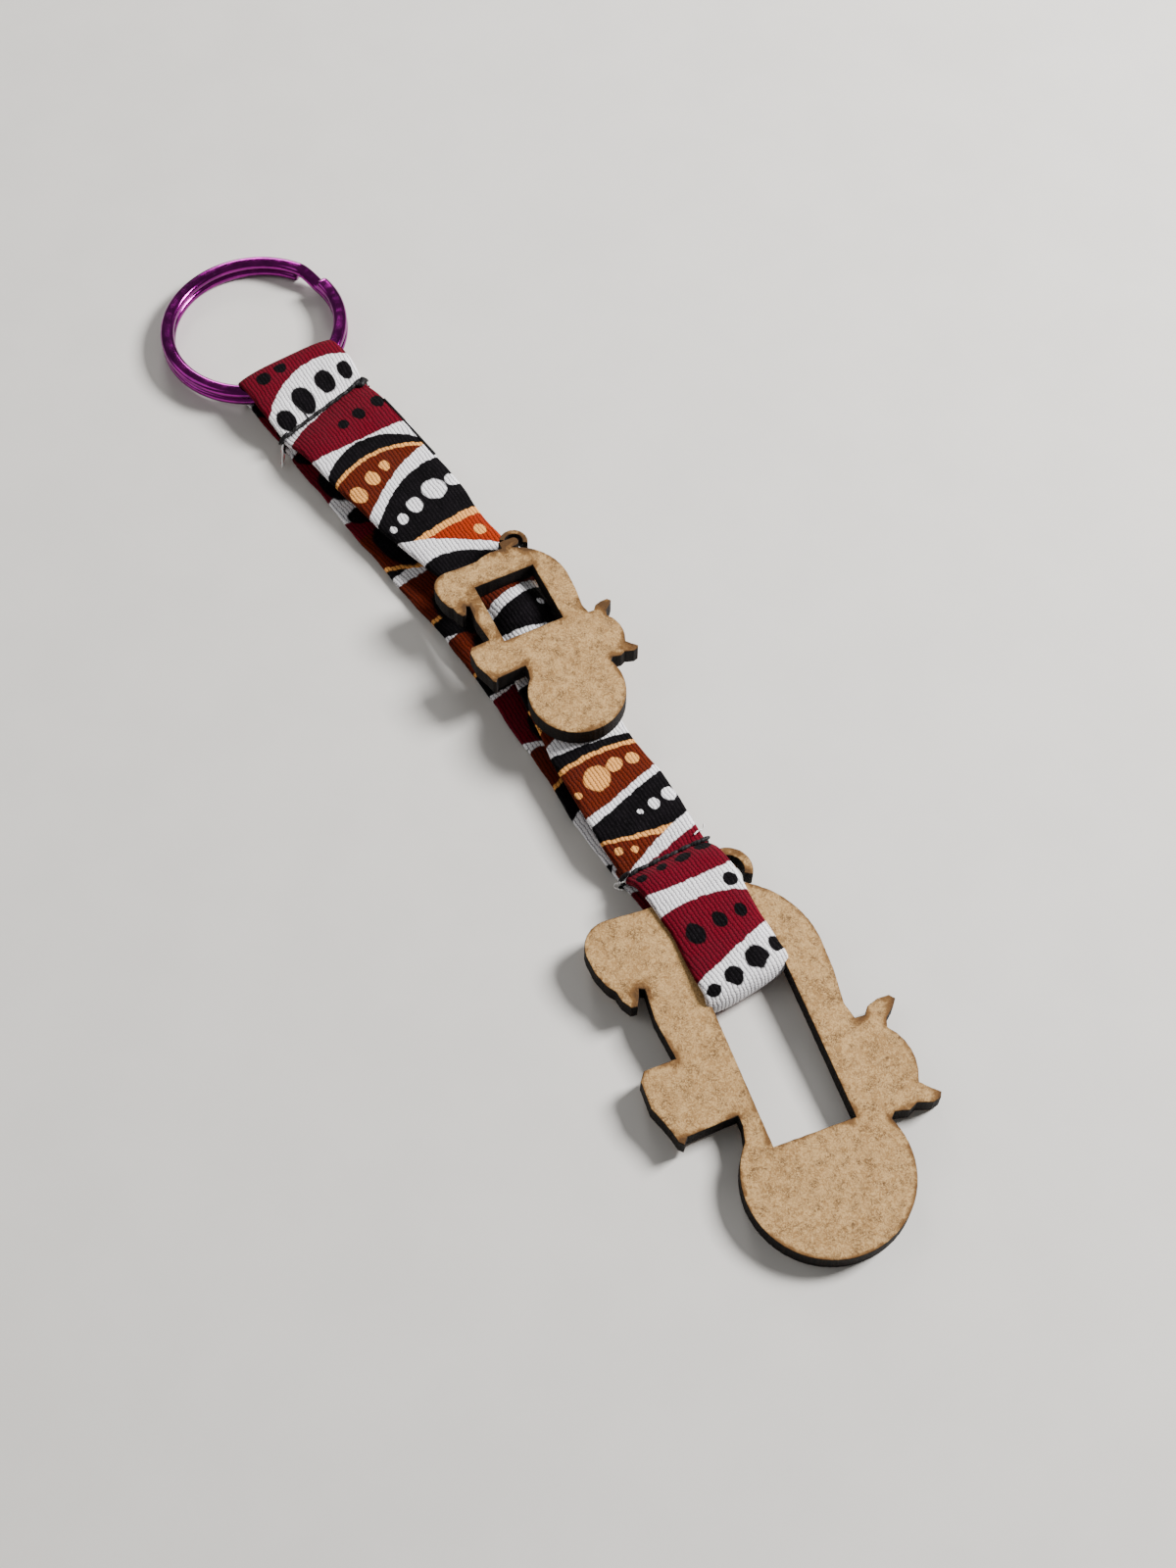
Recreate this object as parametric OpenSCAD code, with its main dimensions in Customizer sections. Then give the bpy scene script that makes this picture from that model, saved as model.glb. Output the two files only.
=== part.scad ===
// Keychain: a coloured split ring, a printed cotton strap with a sewn loop at each end,
// a small fibreboard charm glued on the strap and a large one hanging in the lower loop.
// X runs along the strap from the ring to the large charm, and Z is up. Lengths are in millimetres.
// "Along" is a distance along the strap from its fold at the ring. It lies as on a table.

/* [Split ring] */
// Outer diameter of the ring
ring_od = 30; // [27:0.5:36]
// Width of the wire, across the ring
wire_w = 2.2; // [1.8:0.1:2.6]
// Height of one turn of the wire
wire_h = 1.45; // [1.2:0.05:1.7]
// Rounding of the wire's corners
wire_round = 0.5; // [0.3:0.05:0.55]
// Gap between the two turns
turn_gap = 0.06; // [0.04:0.01:0.1]
// Where the wire crosses to the upper turn, in degrees round the ring
cross_at = 100; // [60:5:120]
// Length of that crossing, in degrees
cross_span = 20; // [16:2:30]

/* [Strap] */
// Length of the strap, from fold to fold
strap_l = 131; // [109:1:158]
// Thickness of one layer of folded cloth
cloth_t = 0.9; // [0.75:0.05:1.1]
// Width of the strap at the ring
ring_end_w = 16.2; // [13.5:0.1:19.4]
// Width of the strap half way along
middle_w = 14.6; // [12:0.1:17.6]
// Width of the strap at the lower seam
lower_w = 13; // [11.2:0.1:15.6]
// Height of the strap's face between its seams
strap_h = 4.6; // [3.8:0.1:5.6]
// Height of the strap where a seam pulls it down
seam_h = 3.2; // [2.6:0.1:3.8]
// From the ring fold to the upper seam
ring_seam = 12.4; // [11.6:0.1:15]
// Slant of the upper seam, in degrees
ring_seam_slant = 12; // [0:1:14]
// Slant of the lower seam, in degrees
charm_seam_slant = -5; // [-8:1:8]
// Sideways bow of the front layer
front_bow = 4.2; // [0:0.1:5]
// Sideways bow of the back layer
back_bow = 1.4; // [0:0.1:5]
// Thickness of the seam thread
thread_d = 0.5; // [0.4:0.05:0.6]

/* [Charms] */
// Thickness of the board
board_t = 3; // [2.5:0.1:3.6]
// Height of the large charm
large_h = 56.5; // [47:0.5:68]
// Width of the large charm's window
large_win_w = 11.8; // [9.8:0.1:13]
// Length of the large charm's window
large_win_l = 28.5; // [24:0.5:29]
// Turn of the large charm from the strap's line, in degrees
large_turn = 12; // [0:1:15]
// From the window's upper edge to the strap's fold
fold_drop = 6.4; // [4:0.2:9]
// From the large charm's curl to the lower seam, past the room that the curl needs
seam_drop = 2.2; // [1.6:0.2:5]
// Height of the small charm
small_h = 34.6; // [29:0.2:41.5]
// Width of the small charm's window
small_win_w = 9.4; // [7.8:0.1:9.6]
// Length of the small charm's window
small_win_l = 10.4; // [8.6:0.1:11.6]
// Turn of the small charm from the strap's line, in degrees
small_turn = 7; // [0:1:12]
// How far the small charm lies past the middle of the two seams
small_shift = 10; // [0:1:12]
// How high the cloth bulges in the small charm's window
bulge_h = 1.5; // [0.5:0.1:2]
// Thickness of the glue under the small charm
glue_t = 0.35; // [0.2:0.05:0.6]

/* [Clearances] */
// Between the strap and what hangs in its loops
fit_gap = 0.15; // [0.1:0.01:0.3]
// Between the seam thread and the cloth that it lies in
thread_gap = 0.02; // [0.01:0.01:0.04]

/* [Hidden] */
$fn = 96;

ring_purple = [0.42, 0.04, 0.46];
cloth_red = [0.66, 0.05, 0.16];
cloth_rust = [0.60, 0.27, 0.08];
thread_black = [0.06, 0.05, 0.06];
board_tan = [0.80, 0.69, 0.52];
glue_clear = [0.88, 0.86, 0.80];

// The split ring, worked out flat and then tipped so that its far side meets the table
ring_r = ring_od / 2;
ring_h = 2 * wire_h + turn_gap;
ring_in_r = ring_r - wire_w;
ring_x = cloth_t + fit_gap - sqrt(pow(ring_in_r, 2) - pow(ring_end_w / 2, 2));
ring_far = ring_x - ring_r;
ring_tip = asin((cloth_t + fit_gap) / (cloth_t - ring_far));
wire_top = cloth_t + fit_gap + (ring_r + ring_x - cloth_t) * sin(ring_tip) + ring_h;

// The charm's outline is drawn for a height of outline_h, about the centre of its round foot,
// with X to the charm's right and Y up
outline_h = 56.5;
foot_r = 11.6;
arch_r = 13.7;
arch_at = [-1.2, 31.2];
curl_at = [4.6, 45.4];
curl_r = 3.5;
curl_w = 1.25;
curl_gap = 1.0;
curl_open = 32;
curl_stem_l = 3.4;
large_k = large_h / outline_h;
small_k = small_h / outline_h;
win_mid = 0.6;
large_win_low = 5.9;
small_win_mid = -1.1;
small_win_low = 12.3;

// The large charm's place: the strap's fold lies in its window, and the loop is up at its full
// height where the charm's curl begins
fold_w = (large_win_w - 4 * fit_gap - cloth_t * sin(large_turn)) / cos(large_turn);
win_top = large_win_low + large_win_l;
large_at = [strap_l - cloth_t / 2, 0] - turned([win_mid, win_top - fold_drop], large_turn);
large_far = large_at[0] + foot_r * large_k;
large_tip = asin((cloth_t + fit_gap) / (large_far - strap_l));
curl_far = large_at[0] + large_k * (turned(curl_at, large_turn)[0] - curl_r);
edge_room = 1.2;
charm_seam = curl_far - edge_room - seam_drop;
rise_l = edge_room + seam_drop - fit_gap;
charm_top = (large_far - curl_far) * tan(large_tip) + board_t / cos(large_tip);

// The small charm's place, on the front layer between the two seams
small_mid_along = (ring_seam + charm_seam) / 2 + small_shift;
small_aside = 0.4;
small_at = [small_mid_along + (outline_h / 2 - foot_r) * small_k, front_bow + small_aside];
small_z = strap_h + glue_t;

// Height of the strap's upper face, and its width, at stations along it
ring_loop_h = wire_top + fit_gap + cloth_t;
charm_loop_h = charm_top + fit_gap + cloth_t;
ring_rise_l = 5.2;
slope_l = 7;
fold_l = 2;
narrow_l = 3;
face_stations = [[0, ring_loop_h], [ring_seam - ring_rise_l, ring_loop_h], [ring_seam, seam_h],
    [ring_seam + slope_l, strap_h], [charm_seam - slope_l, strap_h], [charm_seam, seam_h],
    [charm_seam + rise_l, charm_loop_h], [strap_l, charm_loop_h]];
width_stations = [[0, ring_end_w], [ring_seam, ring_end_w], [strap_l / 2, middle_w],
    [charm_seam, lower_w], [strap_l - fold_l - narrow_l, lower_w], [strap_l - fold_l, fold_w],
    [strap_l, fold_w]];

// Each seam is sewn through a solid stretch, where the strip's ends are tucked in
seam_block = 2.6;
fold_round = 1.7;
inner_round = 0.7;
layer_split = 2;
step = 1;

// Lengths past every edge, for solids that only cut
past = 200;
past_h = 12;

// The object's box, for the origin at the middle of its base
x_low = ring_far - (ring_h - wire_round) * sin(ring_tip);
x_high = large_far + board_t * sin(large_tip);
large_ys = [for (p = outline()) (large_at + turned(large_k * p, large_turn))[1]];
small_ys = [for (p = outline()) (small_at + turned(small_k * p, small_turn))[1]];
y_low = min(min(large_ys), -ring_r);
y_high = max(max(large_ys), max(small_ys), ring_r);
origin = [(x_low + x_high) / 2, (y_low + y_high) / 2, 0];

// A charm's own directions, seen along the strap
function turned(p, turn) = [p[0] * sin(turn) - p[1] * cos(turn), p[0] * cos(turn) + p[1] * sin(turn)];

function arc(c, r, from, to, steps = 12) =
    [for (i = [0 : steps]) let (a = from + (to - from) * i / steps) c + r * [cos(a), sin(a)]];

// Outline of a charm, anticlockwise from the right of its foot
function outline() = concat(
    // lower tab on the right
    [[10.9, 4.1], [11.6, 4.8], [13.6, 4.3], [14.9, 4.9], [17, 4.2], [18.2, 4.5], [18.6, 5.2],
        [17.3, 6.5], [16.4, 7.5]],
    arc([10, 11.4], 7.4, -28, 40, 6),
    // upper tab on the right
    [[16.1, 17.4], [17.7, 18.7], [18.4, 19.6], [17.8, 20.4], [16, 20.4], [14.4, 19.9],
        [13.5, 18.8], [12.1, 18.9], [11.6, 21.4], [12.3, 26.5]],
    arc(arch_at, arch_r, 0, 100, 14),
    // flat top and rounded corner on the left
    [[-6, 43.9], [-9.2, 43.8]],
    arc([-14.4, 39.9], 4.2, 90, 180, 6),
    // drop below the corner
    [[-18.4, 37.2], [-17.6, 34.8], [-16.7, 33.6], [-16.4, 32], [-15.6, 30.7], [-14.7, 30.6],
        [-14, 31.9], [-13.6, 33], [-12.9, 32.6], [-13.3, 28], [-12.7, 21.8]],
    // block on the left with its small spike
    [[-17.3, 21.7], [-18.3, 20.4], [-18.4, 16.4], [-17.6, 14.2], [-17, 12.3], [-16.7, 10.8],
        [-16.1, 10.2], [-15.3, 11.1], [-8, 11.5], [-8, 10]],
    arc([0, 0], foot_r, 138, 380, 40));

// Curled tongue on top of a charm: a short band that bends round a blunt tip
module curl() {
    tip_r = curl_r - curl_w - curl_gap;
    translate(curl_at) {
        circle(r = tip_r);
        translate([-curl_r, -tip_r])
            square([curl_r, 2 * tip_r]);
        difference() {
            circle(r = curl_r);
            circle(r = curl_r - curl_w);
            rotate(-curl_open)
                translate([-2 * curl_r, -2 * curl_r])
                    square([4 * curl_r, 2 * curl_r]);
            translate([-2 * curl_r, -2 * curl_r])
                square([2 * curl_r, 2 * curl_r]);
        }
    }
    translate([curl_at[0] - curl_r, curl_at[1] - curl_stem_l])
        square([curl_w, curl_stem_l + curl_w / 2]);
}

// One charm in its own place and turn, with its window
module charm(k, turn, win_w, win_l, mid, low) {
    rotate([0, 0, 90 - turn])
        linear_extrude(height = board_t)
            difference() {
                scale(k)
                    union() {
                        polygon(outline());
                        curl();
                    }
                translate([mid - win_w / 2, low])
                    square([win_w, win_l]);
            }
}

// Section of one turn of wire about its middle, with rounded corners
function wire_points(inset, steps) =
    let (a = wire_w / 2 - wire_round, b = wire_h / 2 - wire_round, r = wire_round - inset)
    concat(
        arc([a, b], r, 0, 90, steps),
        arc([-a, b], r, 90, 180, steps),
        arc([-a, -b], r, 180, 270, steps),
        arc([a, -b], r, 270, 360, steps));

module wire_turn(from, sweep) {
    rotate([0, 0, from])
        rotate_extrude(angle = sweep, $fn = 180)
            translate([ring_r - wire_w / 2, wire_h / 2])
                polygon(wire_points(0, 4));
}

// The wire where it climbs from the lower turn to the upper one; each end sits inside its turn
module wire_crossing(lift) {
    seat = 2;
    inset = 0.04;
    rows = 10;
    section = wire_points(inset, 3);
    n = len(section);
    function climb(f) = f * f * (3 - 2 * f);
    function at(row) = -seat + (cross_span + 2 * seat) * row / rows;
    function level(row) = lift * climb(max(0, min(1, at(row) / cross_span)));
    points = [for (row = [0 : rows], p = section)
        let (r = ring_r - wire_w / 2 + p[0], a = cross_at + at(row))
        [r * cos(a), r * sin(a), wire_h / 2 + p[1] + level(row)]];
    sides = [for (row = [0 : rows - 1], i = [0 : n - 1], half = [0, 1])
        let (a = row * n + i, b = row * n + (i + 1) % n)
        half == 0 ? [a, b, b + n] : [a, b + n, a + n]];
    caps = [[for (i = [n - 1 : -1 : 0]) i], [for (i = [0 : n - 1]) rows * n + i]];
    polyhedron(points = points, faces = concat(sides, caps));
}

// Two turns of wire, one above the other, joined by the crossing
module flat_ring() {
    end_gap = 2;
    lift = wire_h + turn_gap;
    sweep = 360 - cross_span - end_gap;
    wire_turn(cross_at + cross_span + end_gap, sweep);
    translate([0, 0, lift])
        wire_turn(cross_at + cross_span, sweep);
    wire_crossing(lift);
}

function face_z(along) = lookup(along, face_stations);
function width_at(along) = lookup(along, width_stations);
function bow_at(along, bow) = bow * sin(180 * along / strap_l);

// The strap from above, with its sideways bow
module strap_plan(bow) {
    left = [for (s = [0 : step : strap_l]) [s, bow_at(s, bow) - width_at(s) / 2]];
    right = [for (s = [strap_l : -step : 0]) [s, bow_at(s, bow) + width_at(s) / 2]];
    polygon(concat(left, right));
}

// The strap from the side, with rounded folds
module strap_side() {
    r = fold_round;
    polygon(concat(
        arc([r, r], r, 180, 270, 8),
        arc([strap_l - r, r], r, 270, 360, 8),
        arc([strap_l - r, charm_loop_h - r], r, 0, 90, 8),
        [[charm_seam + rise_l, charm_loop_h], [charm_seam, seam_h], [charm_seam - slope_l, strap_h],
            [ring_seam + slope_l, strap_h], [ring_seam, seam_h],
            [ring_seam - ring_rise_l, ring_loop_h]],
        arc([r, ring_loop_h - r], r, 90, 180, 8)));
}

// A hollow between the two layers; fold_end is -1 or 1 where its low or high end is a fold
module layer_hollow(from, to, fold_end) {
    r = inner_round;
    from_high = face_z(from) - cloth_t;
    to_high = face_z(to) - cloth_t;
    low_end = fold_end < 0
        ? concat(arc([from + r, from_high - r], r, 90, 180, 4), arc([from + r, cloth_t + r], r, 180, 270, 4))
        : [[from, from_high], [from, cloth_t]];
    high_end = fold_end > 0
        ? concat(arc([to - r, cloth_t + r], r, 270, 360, 4), arc([to - r, to_high - r], r, 0, 90, 4))
        : [[to, cloth_t], [to, to_high]];
    first = from + (fold_end < 0 ? r : 0);
    last = to - (fold_end > 0 ? r : 0);
    roof = [for (p = face_stations) if (p[0] > first && p[0] < last) [p[0], p[1] - cloth_t]];
    polygon(concat(low_end, high_end, [for (i = [len(roof) - 1 : -1 : 0]) roof[i]]));
}

// The whole strip of cloth, closed on itself, with its three hollows
module strip() {
    for (layer = [[0, layer_split, back_bow], [layer_split, past_h, front_bow]])
        intersection() {
            rotate([90, 0, 0])
                linear_extrude(height = past, center = true)
                    intersection() {
                        difference() {
                            strap_side();
                            layer_hollow(cloth_t, ring_seam - seam_block, -1);
                            layer_hollow(ring_seam + seam_block, charm_seam - seam_block, 0);
                            layer_hollow(charm_seam + seam_block, strap_l - cloth_t, 1);
                        }
                        translate([-1, layer[0]])
                            square([strap_l + 2, layer[1] - layer[0]]);
                    }
            translate([0, 0, -1])
                linear_extrude(height = past_h)
                    strap_plan(layer[2]);
        }
}

// Everything on the ring side of a seam, and everything past it
module before_seam(along, slant) {
    translate([along, 0, -1])
        rotate([0, 0, slant])
            translate([-past, -past / 2, 0])
                cube([past, past, past_h]);
}

module after_seam(along, slant) {
    translate([along, 0, -1])
        rotate([0, 0, slant])
            translate([0, -past / 2, 0])
                cube([past, past, past_h]);
}

// One line of thread round the strap at a seam, on both faces and over both edges
module seam_line(along, slant, d) {
    r = d / 2;
    proud = 0.05;
    half = (width_at(along) / 2 + proud) / cos(slant);
    mid = bow_at(along, (front_bow + back_bow) / 2);
    high = seam_h - proud;
    low = thread_d / 2 + proud;
    translate([along - mid * tan(slant), mid, 0])
        rotate([0, 0, slant]) {
            for (z = [low, high])
                translate([0, 0, z])
                    rotate([90, 0, 0])
                        cylinder(r = r, h = 2 * half, center = true, $fn = 24);
            for (y = [-half, half]) {
                translate([0, y, low])
                    cylinder(r = r, h = high - low, $fn = 24);
                for (z = [low, high])
                    translate([0, y, z])
                        sphere(r = r, $fn = 24);
            }
        }
}

module small_place() {
    translate([small_at[0], small_at[1], small_z])
        children();
}

// The cloth stands up a little in the small charm's window
module window_bulge() {
    side_gap = 0.5;
    half_l = small_win_l / 2 - side_gap;
    bulge_r = (pow(half_l, 2) + pow(bulge_h, 2)) / (2 * bulge_h);
    translate([small_at[0], small_at[1], 0])
        rotate([0, 0, 90 - small_turn])
            translate([small_win_mid, small_win_low + small_win_l / 2, strap_h])
                intersection() {
                    translate([0, 0, bulge_h - bulge_r])
                        rotate([0, 90, 0])
                            cylinder(r = bulge_r, h = small_win_w - 2 * side_gap, center = true);
                    translate([-small_win_w, -small_win_l, -cloth_t / 2])
                        cube([2 * small_win_w, 2 * small_win_l, 2 * bulge_h]);
                }
}

module placed() {
    translate(-origin)
        children();
}

module split_ring() {
    color(ring_purple)
        placed()
            translate([ring_far, 0, 0])
                rotate([0, -ring_tip, 0])
                    translate([ring_r, 0, 0])
                        flat_ring();
}

// The room that the seam threads take up in the cloth
module seam_grooves() {
    d = thread_d + 2 * thread_gap;
    seam_line(ring_seam, ring_seam_slant, d);
    seam_line(charm_seam, charm_seam_slant, d);
}

module ring_loop() {
    color(cloth_red)
        placed()
            difference() {
                intersection() {
                    strip();
                    before_seam(ring_seam, ring_seam_slant);
                }
                seam_grooves();
            }
}

module strap() {
    color(cloth_rust)
        placed()
            difference() {
                intersection() {
                    union() {
                        strip();
                        window_bulge();
                    }
                    after_seam(ring_seam, ring_seam_slant);
                    before_seam(charm_seam, charm_seam_slant);
                }
                seam_grooves();
            }
}

module charm_loop() {
    color(cloth_red)
        placed()
            difference() {
                intersection() {
                    strip();
                    after_seam(charm_seam, charm_seam_slant);
                }
                seam_grooves();
            }
}

module upper_seam() {
    color(thread_black)
        placed()
            seam_line(ring_seam, ring_seam_slant, thread_d);
}

module lower_seam() {
    color(thread_black)
        placed()
            seam_line(charm_seam, charm_seam_slant, thread_d);
}

module small_charm() {
    color(board_tan)
        placed()
            small_place()
                charm(small_k, small_turn, small_win_w, small_win_l, small_win_mid, small_win_low);
}

// Dabs of glue under the small charm's upper bar and its body
module glue_dabs() {
    dab_r = 1.9;
    dabs = [[-3, 41.5], [-5, 14], [2, 0], [6, 13]];
    color(glue_clear)
        placed()
            translate([small_at[0], small_at[1], strap_h])
                rotate([0, 0, 90 - small_turn])
                    for (p = dabs)
                        translate(small_k * p)
                            cylinder(r = dab_r, h = glue_t);
}

module large_charm() {
    color(board_tan)
        placed()
            translate([large_far, large_at[1], 0])
                rotate([0, large_tip, 0])
                    translate([large_at[0] - large_far, 0, 0])
                        charm(large_k, large_turn, large_win_w, large_win_l, win_mid, large_win_low);
}

split_ring();
ring_loop();
strap();
charm_loop();
upper_seam();
lower_seam();
small_charm();
glue_dabs();
large_charm();
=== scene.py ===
import math

import bmesh
import bpy
import numpy as np
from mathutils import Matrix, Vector
from mathutils.geometry import delaunay_2d_cdt


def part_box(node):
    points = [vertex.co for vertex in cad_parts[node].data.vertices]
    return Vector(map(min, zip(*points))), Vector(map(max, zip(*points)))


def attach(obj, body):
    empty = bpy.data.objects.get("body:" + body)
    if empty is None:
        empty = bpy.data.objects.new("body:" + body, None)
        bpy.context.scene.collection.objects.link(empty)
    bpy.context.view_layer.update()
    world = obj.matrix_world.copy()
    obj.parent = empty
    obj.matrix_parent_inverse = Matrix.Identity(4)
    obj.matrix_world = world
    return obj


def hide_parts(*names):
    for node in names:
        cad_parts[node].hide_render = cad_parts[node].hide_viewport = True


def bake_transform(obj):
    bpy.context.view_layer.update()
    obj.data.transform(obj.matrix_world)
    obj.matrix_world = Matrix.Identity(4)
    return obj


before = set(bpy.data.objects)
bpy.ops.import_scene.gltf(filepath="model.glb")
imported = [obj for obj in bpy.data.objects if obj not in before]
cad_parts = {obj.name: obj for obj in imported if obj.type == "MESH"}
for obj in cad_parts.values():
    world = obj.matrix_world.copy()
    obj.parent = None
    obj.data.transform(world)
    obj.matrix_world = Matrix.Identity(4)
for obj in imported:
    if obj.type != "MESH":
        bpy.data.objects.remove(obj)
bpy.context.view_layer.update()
mm = 0.001

# Camera first: it looks down on the keychain from past its large charm

camera = {"place": (0.16008, -0.09007, 0.294), "tilt": 30.0, "turn": 57.2, "lens": 54.1}

cameraData = bpy.data.cameras.new("camera")
cameraData.lens = camera["lens"]
cameraData.sensor_width = 36
cameraData.clip_start = 0.01
cameraObject = bpy.data.objects.new("camera", cameraData)
cameraObject.location = camera["place"]
cameraObject.rotation_euler = (math.radians(camera["tilt"]), 0, math.radians(camera["turn"]))
bpy.context.scene.collection.objects.link(cameraObject)
bpy.context.scene.camera = cameraObject
print("camera placed")

# Where the CAD has things. Lengths below are in millimetres; "along" starts at the strap's fold on the ring,
# and "across" at the strap's straight line.

def cadBoxOf(node):
    low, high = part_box(node)
    return np.array(low) / mm, np.array(high) / mm


foldX = cadBoxOf("ring_loop")[0][0]
strapLength = cadBoxOf("charm_loop")[1][0] - foldX
ringLow, ringHigh = cadBoxOf("split_ring")
midY = (ringLow[1] + ringHigh[1]) / 2


def placed(points):
    return (np.asarray(points, float) + [foldX, midY, 0]) * mm


# Small helpers for meshes

def makePiece(name, points, faces, material, marks=None):
    mesh = bpy.data.meshes.new(name)
    mesh.from_pydata([tuple(p) for p in np.asarray(points, float)], [], [tuple(f) for f in faces])
    for mark, values in (marks or {}).items():
        values = np.asarray(values, np.float32)
        isNumber = values.ndim == 1
        layer = mesh.attributes.new(mark, "FLOAT" if isNumber else "FLOAT_VECTOR", "POINT")
        layer.data.foreach_set("value" if isNumber else "vector", values.ravel())
    mesh.materials.append(material)
    mesh.polygons.foreach_set("use_smooth", [True] * len(mesh.polygons))
    mesh.update()
    piece = bpy.data.objects.new(name, mesh)
    bpy.context.scene.collection.objects.link(piece)
    return piece


def applyModifiers(piece):
    graph = bpy.context.evaluated_depsgraph_get()
    mesh = bpy.data.meshes.new_from_object(piece.evaluated_get(graph))
    piece.modifiers.clear()
    piece.data = mesh
    return piece


def recalculate(piece):
    bm = bmesh.new()
    bm.from_mesh(piece.data)
    bmesh.ops.recalc_face_normals(bm, faces=bm.faces)
    bm.to_mesh(piece.data)
    bm.free()


def gridFaces(rows, columns, closed=False):
    faces = []
    for i in range(rows - 1):
        for j in range(columns if closed else columns - 1):
            k = (j + 1) % columns
            faces.append((i * columns + j, i * columns + k, (i + 1) * columns + k, (i + 1) * columns + j))
    return faces


# Small helpers for materials

def tone(code):
    parts = [int(code[i:i + 2], 16) / 255 for i in (0, 2, 4)]
    return tuple(c / 12.92 if c < 0.04045 else ((c + 0.055) / 1.055) ** 2.4 for c in parts) + (1,)


class Nodes:  # a node tree with short ways to add and join nodes
    def __init__(self, tree):
        self.tree = tree

    def add(self, kind, values=None, **settings):
        node = self.tree.nodes.new(kind)
        for name, value in settings.items():
            setattr(node, name, value)
        for key, value in (values or {}).items():
            self.feed(node.inputs[key], value)
        return node

    def feed(self, socket, value):
        if isinstance(value, bpy.types.NodeSocket):
            self.tree.links.new(value, socket)
        else:
            socket.default_value = value

    def math(self, operation, a, b=0.0, c=0.0):
        node = self.add("ShaderNodeMath", {0: a, 1: b, 2: c}, operation=operation)
        return node.outputs[0]

    def ramp(self, value, low, high, outLow=0.0, outHigh=1.0, smooth=True):
        node = self.add(
            "ShaderNodeMapRange",
            {"Value": value, "From Min": low, "From Max": high, "To Min": outLow, "To Max": outHigh},
            interpolation_type="SMOOTHSTEP" if smooth else "LINEAR")
        return node.outputs["Result"]

    def mix(self, factor, a, b, blend="MIX"):
        node = self.add("ShaderNodeMix", {0: factor, 6: a, 7: b}, data_type="RGBA", blend_type=blend)
        return node.outputs[2]

    def noise(self, vector, scale, detail=2.0, rough=0.5, distortion=0.0):
        node = self.add("ShaderNodeTexNoise", {
            "Vector": vector, "Scale": scale, "Detail": detail, "Roughness": rough,
            "Distortion": distortion})
        return node.outputs["Fac"]

    def stretched(self, vector, scale):
        node = self.add("ShaderNodeVectorMath", {0: vector, 1: scale}, operation="MULTIPLY")
        return node.outputs[0]

    def bump(self, shader, height, strength, distance):
        node = self.add("ShaderNodeBump", {"Height": height, "Strength": strength, "Distance": distance})
        self.feed(shader.inputs["Normal"], node.outputs[0])

    def place(self, group, values):
        node = self.add("ShaderNodeGroup", node_tree=group)
        for key, value in values.items():
            self.feed(node.inputs[key], value)
        return node


def newGroup(name, inputs, outputs):
    tree = bpy.data.node_groups.new(name, "ShaderNodeTree")
    kinds = {"number": "NodeSocketFloat", "colour": "NodeSocketColor", "vector": "NodeSocketVector"}
    for label, kind, value in inputs:
        socket = tree.interface.new_socket(name=label, in_out="INPUT", socket_type=kinds[kind])
        socket.default_value = value
    for label, kind in outputs:
        tree.interface.new_socket(name=label, in_out="OUTPUT", socket_type=kinds[kind])
    nodes = Nodes(tree)
    return nodes, nodes.add("NodeGroupInput").outputs, nodes.add("NodeGroupOutput").inputs


def newMaterial(name, fixed):
    material = bpy.data.materials.new(name)
    material.use_nodes = True
    nodes = Nodes(material.node_tree)
    shader = material.node_tree.nodes["Principled BSDF"]
    for label, value in fixed.items():
        shader.inputs[label].default_value = value
    return material, nodes, shader


# Shader groups that several places use

def buildDotGroup():
    # a round or oval dot with a slightly uneven edge: the print's dots, and the painted shade ovals on the
    # hem
    nodes, given, out = newGroup(
        "printAndShadeDot",
        [("Colour", "colour", (0, 0, 0, 1)), ("Place", "vector", (0, 0, 0)), ("Middle", "vector", (0, 0, 0)),
         ("Half Size", "vector", (1, 1, 1)), ("Dot Colour", "colour", (1, 1, 1, 1)),
         ("Edge", "number", 0.09)],
        [("Colour", "colour")])
    away = nodes.add("ShaderNodeVectorMath", {0: given["Place"], 1: given["Middle"]}, operation="SUBTRACT")
    share = nodes.add("ShaderNodeVectorMath", {0: away.outputs[0], 1: given["Half Size"]}, operation="DIVIDE")
    reach = nodes.add("ShaderNodeVectorMath", {0: share.outputs[0]}, operation="LENGTH")
    inside = nodes.ramp(reach.outputs["Value"], nodes.math("ADD", 1.0, given["Edge"]),
                        nodes.math("SUBTRACT", 1.0, given["Edge"]))
    nodes.feed(out["Colour"], nodes.mix(inside, given["Colour"], given["Dot Colour"]))
    return nodes.tree


def buildBandGroup():
    # the new colour covers everything further along the strap than
    # start + slant * across + bend * across squared
    nodes, given, out = newGroup(
        "printedBand",
        [("Colour", "colour", (0, 0, 0, 1)), ("Along", "number", 0.0), ("Across", "number", 0.0),
         ("Start", "number", 0.0), ("Slant", "number", 0.0), ("Bend", "number", 0.0),
         ("New Colour", "colour", (1, 1, 1, 1)), ("Edge", "number", 0.12)],
        [("Colour", "colour")])
    bend = nodes.math("MULTIPLY_ADD", given["Bend"], given["Across"], given["Slant"])
    border = nodes.math("MULTIPLY_ADD", bend, given["Across"], given["Start"])
    past = nodes.math("SUBTRACT", given["Along"], border)
    inside = nodes.ramp(past, nodes.math("MULTIPLY", given["Edge"], -1.0), given["Edge"])
    nodes.feed(out["Colour"], nodes.mix(inside, given["Colour"], given["New Colour"]))
    return nodes.tree


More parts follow.
